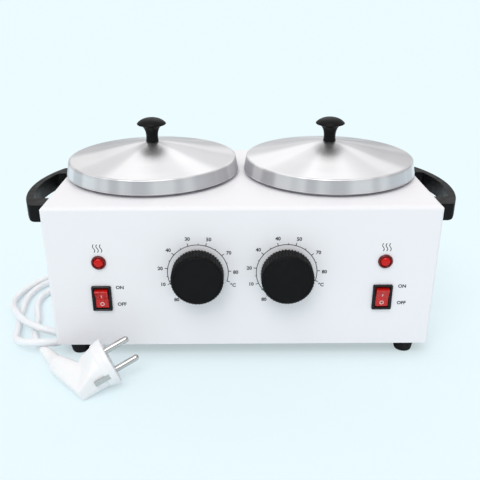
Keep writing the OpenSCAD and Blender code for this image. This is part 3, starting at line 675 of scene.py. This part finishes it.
def buildCord(c):
    shift = np.array([0, frontY, 0])
    rear = np.array(c["rear"], float)
    front = np.array(c["front"], float)
    line = smoothLine(np.vstack([rear, coilLine(c), front]) + shift, c["step"])
    line[:, 2] = np.maximum(line[:, 2], c["width"] / 2)
    lead = meshPiece("mainsLead", [carried(line, c["width"] / 2 - 0.02, 14)], "cabinet",
                     ["cord_rear", "cord_coil", "cord_front"])
    dress(lead, finishes["cordPvc"])


gland = buildGland(glandSet)
plug = buildPlug(plugSet)
dressNodes("nickel", "plug_pins", "plug_earth_clips")
buildCord(cordSet)


# ---- pots and lids ----
potSet = {"x": 74.7, "y": 91.7, "radius": 60, "wall": 1.2, "depth": 78, "rim": 69.5}
lidSet = {
    "base": topZ + 2.6,
    "outside": [(0, 24.1), (6, 23.8), (12, 22.8), (20, 21.3), (30, 19.2), (40, 16.9), (50, 14.6),
                (66, 11.8), (68.4, 11.5), (70.2, 10.9), (70.6, 9), (72.1, 1.1), (72.3, 0.6), (72.1, 0.05),
                (68.9, 0.05)],
    "outsideCurve": [0, 3, 4, 5, 5, 5, 5, 2.5, 0.9, 0.8, 0.8, 0.4, 0.2, 0.2, 0.1],
    "inside": [(68.9, 0.6), (68.9, 1.0), (70.6, 1.0), (68.9, 8.6), (67.8, 10.1), (65.3, 10.6), (50, 13.3),
               (30, 17.9), (12, 21.5), (0, 22.9)],
    "insideCurve": [0, 0.2, 0.4, 0.8, 0.8, 1.2, 5, 5, 5, 0],
}
knobSet = {
    "base": topZ + 26.7,
    "profile": [(0, 19.7), (4.5, 19.3), (8, 18.1), (10.4, 16.6), (11.8, 15.3), (12.2, 14.6), (11.6, 13.9),
                (9.4, 13.3), (7.6, 12.4), (6.3, 10.6), (5.3, 8), (4.9, 5), (5.0, 2), (5.4, 0.1), (0, 0.1)],
    "curve": [0, 3, 3, 2, 0.9, 0.5, 0.6, 1.2, 1.2, 1.5, 2, 2, 1, 0.3, 0],
}


def potAxis(side, height):
    return at(sides[side] * potSet["x"], potSet["y"], height)


def buildPot(side, c):
    r, t, d = c["radius"], c["wall"], c["depth"]
    edge = np.linspace(math.pi / 2, -math.pi / 2, 9)
    bead = [(c["rim"] - 0.6 + 0.6 * math.cos(a), 0.6 + 0.6 * math.sin(a)) for a in edge]
    profile = [(0, t - d), (r - 6.4, t - d), (r - t - 1.6, 2.8 - d), (r - t, 6.4 - d), (r - t, 0.6),
               (r - 0.4, 1.2)]
    profile += bead + [(r + 0.8, 0), (r, -0.8), (r, 6 - d), (r - 1.8, 1.8 - d), (r - 6, -d), (0, -d)]
    radii = [0, 3, 1.5, 3, 0.8, 0.5] + [0] * len(bead) + [0.6, 0.6, 3, 1.5, 3, 0]
    part = placed(lathe(rounded(profile, radii), 192), potAxis(side, topZ + 1.1))
    piece = meshPiece(side + "Pot", [part], "pot_" + side, [side + "_pot"])
    dress(piece, spunMetal("Pot", side))


def buildWell(side, c):
    r, t, d = c["radius"] + 2.2, 1.2, c["depth"] + 4
    flange = 68
    profile = [(0, t - d), (r - 6.4, t - d), (r - t - 1.6, 2.8 - d), (r - t, 6.4 - d), (r - t, 0.5),
               (r - 0.4, 1), (flange, 1), (flange, 0.02), (r + 0.4, 0.02), (r, -0.5), (r, 6 - d),
               (r - 1.8, 1.8 - d), (r - 6, -d), (0, -d)]
    radii = [0, 3, 1.5, 3, 0.5, 0.5, 0.3, 0.2, 0.4, 0.4, 3, 1.5, 3, 0]
    part = placed(lathe(rounded(profile, radii), 192), potAxis(side, topZ))
    piece = meshPiece(side + "Well", [part], "cabinet", [side + "_well"])
    dress(piece, spunMetal("Well", side))


def buildLid(side, c, k):
    outside = rounded(c["outside"], c["outsideCurve"], 6)
    inside = rounded(c["inside"], c["insideCurve"], 4)
    part = placed(lathe(np.vstack([outside, inside]), 256), potAxis(side, c["base"]))
    shell = meshPiece(side + "LidShell", [part], "lid_" + side, [side + "_lid"])
    dress(shell, spunMetal("Lid", side))
    part = placed(lathe(rounded(k["profile"], k["curve"]), 96), potAxis(side, k["base"]))
    knob = meshPiece(side + "LidGrip", [part], "lid_" + side, [side + "_lid_knob"])
    dress(knob, finishes["blackPlastic"])


for side in sides:
    buildWell(side, potSet)
    buildPot(side, potSet)
    buildLid(side, lidSet, knobSet)
print("pots, wells and lids built")


# ---- handles ----
handleSet = {
    "out": 31, "bow": 112, "thick": 6, "shift": 3, "length": 103.4, "leg": 17.6, "y": 87,
    "layers": [(102, 1.9), (102.25, 1.1), (102.8, 0.45), (103.6, 0.1), (104.4, 0), (115.7, 0), (116, 0.3)],
}


def handleOutline(c, inset):
    # Outer bow, drawn in by the inset, then back along the legs and the inner bow
    half = c["length"] / 2
    inner = half - c["leg"]
    mid = c["out"] - c["bow"]
    y = np.linspace(-half, half, 49)
    outer = np.stack([mid + np.sqrt((c["bow"] - inset) ** 2 - (y + c["shift"]) ** 2), y], -1)
    near = rounded([(0.05, -half), outer[0], outer[3]], [0, 2.2, 0], 6)[:-1]
    far = rounded([outer[-4], outer[-1], (0.05, half)], [0, 2.2, 0], 6)[1:]
    y = np.linspace(inner, -inner, 33)
    bow = np.stack([mid + np.sqrt((c["bow"] - c["thick"]) ** 2 - (y + c["shift"]) ** 2), y], -1)
    first = rounded([(0.05, inner), bow[0], bow[2]], [0, 3.0, 0], 5)[:-1]
    last = rounded([bow[-3], bow[-1], (0.05, -inner)], [0, 3.0, 0], 5)[1:]
    return np.vstack([near, outer[3:-3], far, first, bow[3:-3], last])


def stacked(outlines, heights):
    # Outlines of equally many points, one above the other, with a cap at each end
    n = len(outlines[0])
    points = np.vstack([np.c_[o, np.full(n, h)] for o, h in zip(outlines, heights)])
    j = np.arange(n)
    k = (j + 1) % n
    last = len(outlines) - 1
    walls = [np.stack([a * n + j, a * n + k, (a + 1) * n + k, (a + 1) * n + j], -1) for a in range(last)]
    return points, walls + [(last * n + j)[None], j[::-1][None]], points[:, :2] * uvScale


def buildHandle(side, c):
    outlines = [handleOutline(c, inset) for height, inset in c["layers"]]
    if side == "left":
        outlines = [o[::-1] * [-1, 1] for o in outlines]
    part = stacked(outlines, [height for height, inset in c["layers"]])
    part = placed(part, at(sides[side] * halfWidth, c["y"], 0))
    piece = meshPiece(side + "Handle", [part], "cabinet", [side + "_handle"], smooth=False)
    bevel(piece, 0.3, 2, 50)
    dress(piece, finishes["blackPlastic"])


for side in sides:
    buildHandle(side, handleSet)


# ---- controls on the front ----
dialSet = {"x": 33.6, "z": 74.0, "radius": 19.75, "out": 15, "gap": 0.8, "ribs": 50, "arc": 23}


def facing(x, z, y=0.0):
    # Local Z points out of the front panel, local Y up
    return at(x, y, z) @ turned(90, "X")


def buildDial(side, c):
    r, h = c["radius"], c["out"] - c["gap"]

    def ribs(a, rr, hh):
        # The grip: half-round ribs that fade at the face's bevel
        wave = 1 - np.abs(np.cos(a * c["ribs"] / 2)) ** 1.5
        grip = np.where((rr > r - 1.0) & (hh < h - 0.9), 1.0, 0.0)
        return 1 - wave * grip * 0.85 / r

    profile = [(0, h - 0.45), (r - 2.4, h - 0.45), (r - 2.2, h), (r - 1.5, h), (r - 1.3, h - 0.3),
               (r - 0.9, h - 0.5), (r - 0.3, h - 0.95), (r, h - 1.1), (r, h - 3), (r, 3), (r, 0.5),
               (r - 0.3, 0.05), (r - 2.4, 0.05),
               (r - 2.4, h - 2.6), (5.6, h - 2.6), (5.6, 3.2), (3.1, 3.2), (3.1, 11.5), (0, 11.5)]
    curve = [0, 0.15, 0.2, 0.2, 0.1, 0.1, 0.2, 0, 0, 0, 0.1, 0.1, 0.3, 0.6, 0.6, 0.3, 0.3, 0.1, 0]
    part = lathe(rounded(profile, curve, 3), c["ribs"] * 8, ribs)
    part = placed(part, facing(sides[side] * c["x"], c["z"], -c["gap"]))
    knob = meshPiece(side + "Dial", [part], "dial_" + side, [side + "_dial_knob"])
    dress(knob, finishes["knobPlastic"])


printSet = {
    "lift": 0.04,
    "line": 0.56,
    "text": 3.9,
    "bold": 0.12,
    "labelRadius": 28.6,
    "majorTick": 2.3,
    "minorTick": 1.0,
    "switchX": 108.1,
    "switchWords": [("ON", 14.5, 61.7), ("OFF", 15.2, 47.3)],
    "heatX": 107.9,
    "heatZ": 94.5,
    "heatPitch": 2.6,
}


def bar(x0, z0, x1, z1, width):
    # A flat printed stroke from one point to another, in panel coordinates
    a, b = np.array([x0, z0]), np.array([x1, z1])
    n = np.array([-(b - a)[1], (b - a)[0]]) / np.linalg.norm(b - a) * width / 2
    return slab([a - n, b - n, b + n, a + n], 0.005, printSet["lift"])


def strip(line, width):
    # A flat printed ribbon: each point of its middle line moved half the width to both sides
    line = np.asarray(line, float)
    n = len(line)
    ahead = np.gradient(line, axis=0)
    ahead /= np.linalg.norm(ahead, axis=1)[:, None]
    across = np.stack([ahead[:, 1], -ahead[:, 0]], -1) * width / 2
    outer, inner = line + across, line - across
    low, high = 0.005, printSet["lift"]
    points = np.vstack([np.c_[outer, np.full(n, high)], np.c_[inner, np.full(n, high)],
                        np.c_[outer, np.full(n, low)], np.c_[inner, np.full(n, low)]])
    i = np.arange(n - 1)
    faces = [np.stack([i, i + 1, n + i + 1, n + i], -1), np.stack([2 * n + i, 2 * n + i + 1, i + 1, i], -1),
             np.stack([n + i, n + i + 1, 3 * n + i + 1, 3 * n + i], -1),
             np.stack([3 * n + i, 3 * n + i + 1, 2 * n + i + 1, 2 * n + i], -1),
             np.array([[0, n, 3 * n, 2 * n]]), np.array([[n - 1, 3 * n - 1, 4 * n - 1, 2 * n - 1]])]
    return points, faces, points[:, :2] * uvScale


def arcLine(x, z, radius, start, stop, n=90):
    a = np.radians(np.linspace(start, stop, n))
    return np.stack([x + radius * np.cos(a), z + radius * np.sin(a)], -1)


def heatLine(x, z, height=6.4, sway=0.75):
    # One wavy line of rising heat
    t = np.linspace(0, 1, 25)
    return np.stack([x + sway * np.sin(2 * np.pi * t), z + height * (t - 0.5)], -1)


def lettering(words, x, z, size):
    # A text's own mesh, centred on (x, z) of the panel
    curve = bpy.data.curves.new("lettering", "FONT")
    curve.body = words
    curve.size = size
    curve.align_x = "CENTER"
    curve.align_y = "CENTER"
    curve.extrude = printSet["lift"] / 2
    curve.offset = printSet["bold"]
    curve.resolution_u = 3
    holder = bpy.data.objects.new("lettering", curve)
    bpy.context.scene.collection.objects.link(holder)
    mesh = bpy.data.meshes.new_from_object(holder.evaluated_get(bpy.context.evaluated_depsgraph_get()))
    points = np.zeros(len(mesh.vertices) * 3)
    mesh.vertices.foreach_get("co", points)
    points = points.reshape(-1, 3) + [x, z, 0]
    points[:, 2] += 0.005 + printSet["lift"] / 2 - points[:, 2].mean()
    groups = {}
    for face in mesh.polygons:
        groups.setdefault(len(face.vertices), []).append(list(face.vertices))
    bpy.data.objects.remove(holder)
    bpy.data.curves.remove(curve)
    bpy.data.meshes.remove(mesh)
    return points, [np.array(g) for g in groups.values()], points[:, :2] * uvScale


scaleSet = {
    "labels": {
        "left": ["80", "10", "20", "40", "30", "50", "70", "80", "°C"],
        "right": ["80", "10", "20", "40", "40", "50", "70", "80", "°C"],
    },
    "at": [233.7, 200.0, 172.5, 139.1, 104.5, 72.2, 34.9, 0.6, -21.9],
    "majors": [233.7, 203, 171, 139.5, 107, 74, 38, 3, -18],
    "minors": [218, 187, 155, 122, 88, 55, 20],
}


def buildPrint(side, d, s, p):
    x, z = sides[side] * d["x"], d["z"]
    parts = [strip(arcLine(x, z, d["arc"], s["majors"][0], s["majors"][-1]), p["line"])]

    def spoke(angle, radius):
        return x + radius * math.cos(math.radians(angle)), z + radius * math.sin(math.radians(angle))

    for angles, length in ((s["majors"], p["majorTick"]), (s["minors"], p["minorTick"])):
        for angle in angles:
            parts.append(bar(*spoke(angle, d["arc"]), *spoke(angle, d["arc"] + length), p["line"]))
    for words, angle in zip(s["labels"][side], s["at"]):
        parts.append(lettering(words, *spoke(angle, p["labelRadius"]), p["text"]))
    for words, dx, h in p["switchWords"]:
        parts.append(lettering(words, sides[side] * p["switchX"] + dx, h, p["text"]))
    for dx in (-p["heatPitch"], 0, p["heatPitch"]):
        parts.append(strip(heatLine(sides[side] * p["heatX"] + dx, p["heatZ"]), p["line"]))
    parts = [placed(q, facing(0, 0)) for q in parts]
    piece = meshPiece(side + "PanelPrint", parts, "cabinet", (), smooth=False)
    dress(piece, finishes["print"])


switchSet = {
    "x": 107.8, "z": 52.8, "width": 15, "height": 21, "bezel": 2.0,
    "rockerWidth": 9.9, "slotWidth": 10.2, "slotHeight": 17.8, "lean": 11,
}


def roundedBox(width, height, radius, n=6):
    a = np.linspace(0, math.pi / 2, n)
    corner = np.stack([np.cos(a), np.sin(a)], -1) * radius
    w, h = width / 2 - radius, height / 2 - radius
    turns = [(w, h, 0), (-w, h, 1), (-w, -h, 2), (w, -h, 3)]
    rows = []
    for cx, cy, q in turns:
        c, s = math.cos(q * math.pi / 2), math.sin(q * math.pi / 2)
        rows.append(corner @ np.array([[c, s], [-s, c]]) + [cx, cy])
    return np.vstack(rows)


def buildSwitch(side, c):
    x = sides[side] * c["x"]
    outer = roundedBox(c["width"], c["height"], 1.0)
    inner = roundedBox(c["slotWidth"], c["slotHeight"], 0.4)
    mid = roundedBox(c["width"] - 1.0, c["height"] - 1.0, 0.8)
    dip = roundedBox(c["slotWidth"] + 1.4, c["slotHeight"] + 1.2, 0.6)
    case = roundedBox(12.9, 18.9, 0.4)
    rings = [(case, -16), (case, 0.01), (outer, 0.02), (outer, c["bezel"] - 0.55), (mid, c["bezel"] - 0.05),
             (dip, c["bezel"] - 0.1), (inner, c["bezel"] - 0.7), (inner, -8.9)]
    body = stacked([r for r, z in rings], [z for r, z in rings])
    tab = slab(roundedBox(4.8, 0.8, 0.1), -23, -15.9)
    tabs = [placed(tab, Matrix.Translation((0, h, 0))) for h in (-5, 5)]
    parts = [placed(q, facing(x, c["z"])) for q in [body, *tabs]]
    rim = meshPiece(side + "SwitchFrame", parts, "cabinet", [side + "_switch_body"],
                    smooth=False)
    dress(rim, finishes["switchPlastic"])
    # Rocker: a shallow V face on a round underside, tilted to OFF about its pivot
    v = np.linspace(-7.7, 7.7, 41)
    slope = math.tan(math.radians(c["lean"]))
    top = 2.2 + np.sqrt(v**2 + 0.6) * slope - 0.15
    top = np.minimum(top, np.sqrt(np.maximum(8.25**2 - v**2, 0)))
    belly = -2.3
    under = [(7.9, 1.0), (7.9, belly), (-7.9, belly), (-7.9, 1.0)]
    outline = np.vstack([np.stack([v, top], -1), under])[::-1]
    # outline is (height on the panel, outwards); slab raises it across the width
    part = slab(outline, -c["rockerWidth"] / 2, c["rockerWidth"] / 2)
    # Local x goes to world z, y to -y and z to x
    turn = Matrix(((0, 0, 1, 0), (0, -1, 0, 0), (1, 0, 0, 0), (0, 0, 0, 1)))
    tilt = at(x, 1, c["z"]) @ turned(c["lean"], "X")
    part = placed(part, tilt @ turn)
    rocker = meshPiece(side + "Rocker", [part], "rocker_" + side, [side + "_rocker"],
                       smooth=False)
    bevel(rocker, 0.35, 3, 35)
    dress(rocker, finishes["redRocker"])
    # I and O, printed on the two halves
    stroke = bar(0, -1.4, 0, 1.4, 0.55)
    ring = strip(arcLine(0, 0, 1.35, 0, 360, 40), 0.5)
    for name, mark, h, lean in (("RockerOn", stroke, 2.9, c["lean"]), ("RockerOff", ring, -4.1, -c["lean"])):
        seat = Matrix.Translation(Vector((0, -(2.06 + abs(h) * slope), h))) @ turned(lean, "X")
        part = placed(mark, tilt @ seat @ turned(90, "X"))
        sign = meshPiece(side + name, [part], "rocker_" + side, (), smooth=False)
        dress(sign, finishes["whitePrint"])


lampSet = {"x": 107.8, "z": 83.0, "bezel": 5.6}


def buildLamp(side, c):
    x = sides[side] * c["x"]
    b = c["bezel"]
    profile = [(0, -5), (3.8, -5), (3.82, 0.9), (4.0, 1.2), (4.5, 1.75), (b - 0.5, 1.6), (b, 0.9), (b, 0.02),
               (4.5, 0.02), (4.5, -1.3), (7, -1.3), (7, -4.2), (4.5, -4.2), (4.5, -21.5), (0, -21.5)]
    curve = [0, 0.1, 0.1, 0.3, 0.4, 0.5, 0.3] + [0.1] * 7 + [0]
    ring = lathe(rounded(profile, curve), 72)
    tab = slab(roundedBox(0.6, 3, 0.1), -27.5, -21.4)
    tabs = [placed(tab, Matrix.Translation((dx, 0, 0))) for dx in (-2, 2)]
    parts = [placed(q, facing(x, c["z"])) for q in [ring, *tabs]]
    collar = meshPiece(side + "LampCollar", parts, "cabinet", [side + "_lamp_body"])
    dress(collar, finishes["redBezel"])
    bulge = [(0, 2.75), (1.2, 2.65), (2.4, 2.35), (3.3, 1.7), (3.72, 1.1), (3.74, 0.3), (0, 0.3)]
    dome = placed(lathe(rounded(bulge, [0, 1, 1, 0.8, 0.5, 0.1, 0]), 64), facing(x, c["z"]))
    lens = meshPiece(side + "LampLens", [dome], "cabinet", [side + "_lamp_lens"])
    dress(lens, finishes["redLens"])


for side in sides:
    buildDial(side, dialSet)
    buildPrint(side, dialSet, scaleSet, printSet)
    buildSwitch(side, switchSet)
    buildLamp(side, lampSet)
print("controls built")


# ---- CAD nodes that keep their own shape ----
dressNodes("enamel", "housing")
dressNodes("rubber", "rubber_feet")
dressNodes("steel", "base_plate", "earth_stud", "left_thermostat", "right_thermostat")
dressNodes("screw", "base_screws", "foot_screws", "handle_screws", "thermostat_screws", "terminal_screws",
           "left_lid_screw", "right_lid_screw", "left_dial_shaft", "right_dial_shaft")
dressNodes("heater", "left_heater_band", "right_heater_band")
dressNodes("wool", "left_insulation", "right_insulation")
dressNodes("copper", "left_capillary", "right_capillary", "thermal_fuses")
dressNodes("ivory", "terminal_block")
dressNodes("wire", "wiring")


# ---- floor, light ----
roomSet = {
    "floor": linear(232, 247, 252),
    "backdrop": (0.83, 0.955, 0.99, 1.0),
    "above": 0.8,
    "level": 0.5,
    "panel": (0.0, 0.78, 0.63),
    "panelGain": 0.62,
    "panelEdge": 0.88,
    "sunStrength": 1.15,
    "sunTurn": (32, -12, 0),
    "sunSoft": 40,
    "floorGlow": 0.5,
    "floorEdges": (-15, -8, 15, 22),
    "floorHeight": -0.0002,
}


def lightRoom(c):
    scene = bpy.context.scene
    scene.view_settings.view_transform = "Standard"
    world = bpy.data.worlds.new("paleRoom")
    scene.world = world
    world.use_nodes = True
    tree = world.node_tree
    # The light is stronger from overhead than from the side and strongest from a soft panel high behind the
    # object; the camera sees an even pale backdrop
    lit = tree.nodes["Background"]
    lit.inputs["Color"].default_value = (1, 1, 1, 1)
    where = tree.nodes.new("ShaderNodeTexCoord")
    apart = tree.nodes.new("ShaderNodeSeparateXYZ")
    ramp = tree.nodes.new("ShaderNodeMapRange")
    ramp.inputs["From Min"].default_value = 0.0
    ramp.inputs["From Max"].default_value = 0.9
    ramp.inputs["To Min"].default_value = c["level"]
    ramp.inputs["To Max"].default_value = c["above"]
    tree.links.new(where.outputs["Generated"], apart.inputs["Vector"])
    tree.links.new(apart.outputs["Z"], ramp.inputs["Value"])
    toward = tree.nodes.new("ShaderNodeVectorMath")
    toward.operation = "DOT_PRODUCT"
    toward.inputs[1].default_value = c["panel"]
    tree.links.new(where.outputs["Generated"], toward.inputs[0])
    panel = tree.nodes.new("ShaderNodeMapRange")
    panel.interpolation_type = "SMOOTHSTEP"
    panel.inputs["From Min"].default_value = c["panelEdge"]
    panel.inputs["From Max"].default_value = 1.0
    panel.inputs["To Min"].default_value = 0.0
    panel.inputs["To Max"].default_value = c["panelGain"]
    tree.links.new(toward.outputs["Value"], panel.inputs["Value"])
    total = tree.nodes.new("ShaderNodeMath")
    total.operation = "ADD"
    tree.links.new(ramp.outputs["Result"], total.inputs[0])
    tree.links.new(panel.outputs["Result"], total.inputs[1])
    tree.links.new(total.outputs["Value"], lit.inputs["Strength"])
    seen = tree.nodes.new("ShaderNodeBackground")
    seen.inputs["Color"].default_value = c["backdrop"]
    seen.inputs["Strength"].default_value = 1
    ray = tree.nodes.new("ShaderNodeLightPath")
    mix = tree.nodes.new("ShaderNodeMixShader")
    tree.links.new(ray.outputs["Is Camera Ray"], mix.inputs["Fac"])
    tree.links.new(lit.outputs[0], mix.inputs[1])
    tree.links.new(seen.outputs[0], mix.inputs[2])
    tree.links.new(mix.outputs[0], tree.nodes["World Output"].inputs["Surface"])
    sun = bpy.data.lights.new("skySun", "SUN")
    sun.energy = c["sunStrength"]
    sun.angle = math.radians(c["sunSoft"])
    lamp = bpy.data.objects.new("skySun", sun)
    lamp.rotation_euler = Euler([math.radians(v) for v in c["sunTurn"]])
    scene.collection.objects.link(lamp)
    mesh = bpy.data.meshes.new("floorSheet")
    west, south, east, north = c["floorEdges"]
    around = ((west, south), (east, south), (east, north), (west, north))
    corners = [(x, y, c["floorHeight"]) for x, y in around]
    mesh.from_pydata(corners, [], [(0, 1, 2, 3)])
    floor = bpy.data.objects.new("floorSheet", mesh)
    scene.collection.objects.link(floor)
    matt = {"Base Color": c["floor"], "Roughness": 0.9, "Specular IOR Level": 0.1}
    paper = finish("paleFloor", matt, tint=(c["floor"], 3.0))
    # Part of what the camera sees of the floor is a glow, which lightens the shadow
    tree = paper.node_tree
    shader = tree.nodes["Principled BSDF"]
    glow = tree.nodes.new("ShaderNodeEmission")
    glow.inputs["Color"].default_value = c["backdrop"]
    ray = tree.nodes.new("ShaderNodeLightPath")
    share = tree.nodes.new("ShaderNodeMath")
    share.operation = "MULTIPLY"
    share.inputs[1].default_value = c["floorGlow"]
    blend = tree.nodes.new("ShaderNodeMixShader")
    tree.links.new(ray.outputs["Is Camera Ray"], share.inputs[0])
    tree.links.new(share.outputs["Value"], blend.inputs["Fac"])
    tree.links.new(shader.outputs[0], blend.inputs[1])
    tree.links.new(glow.outputs[0], blend.inputs[2])
    tree.links.new(blend.outputs[0], tree.nodes["Material Output"].inputs["Surface"])
    floor.data.materials.append(paper)


lightRoom(roomSet)
print("room lit")
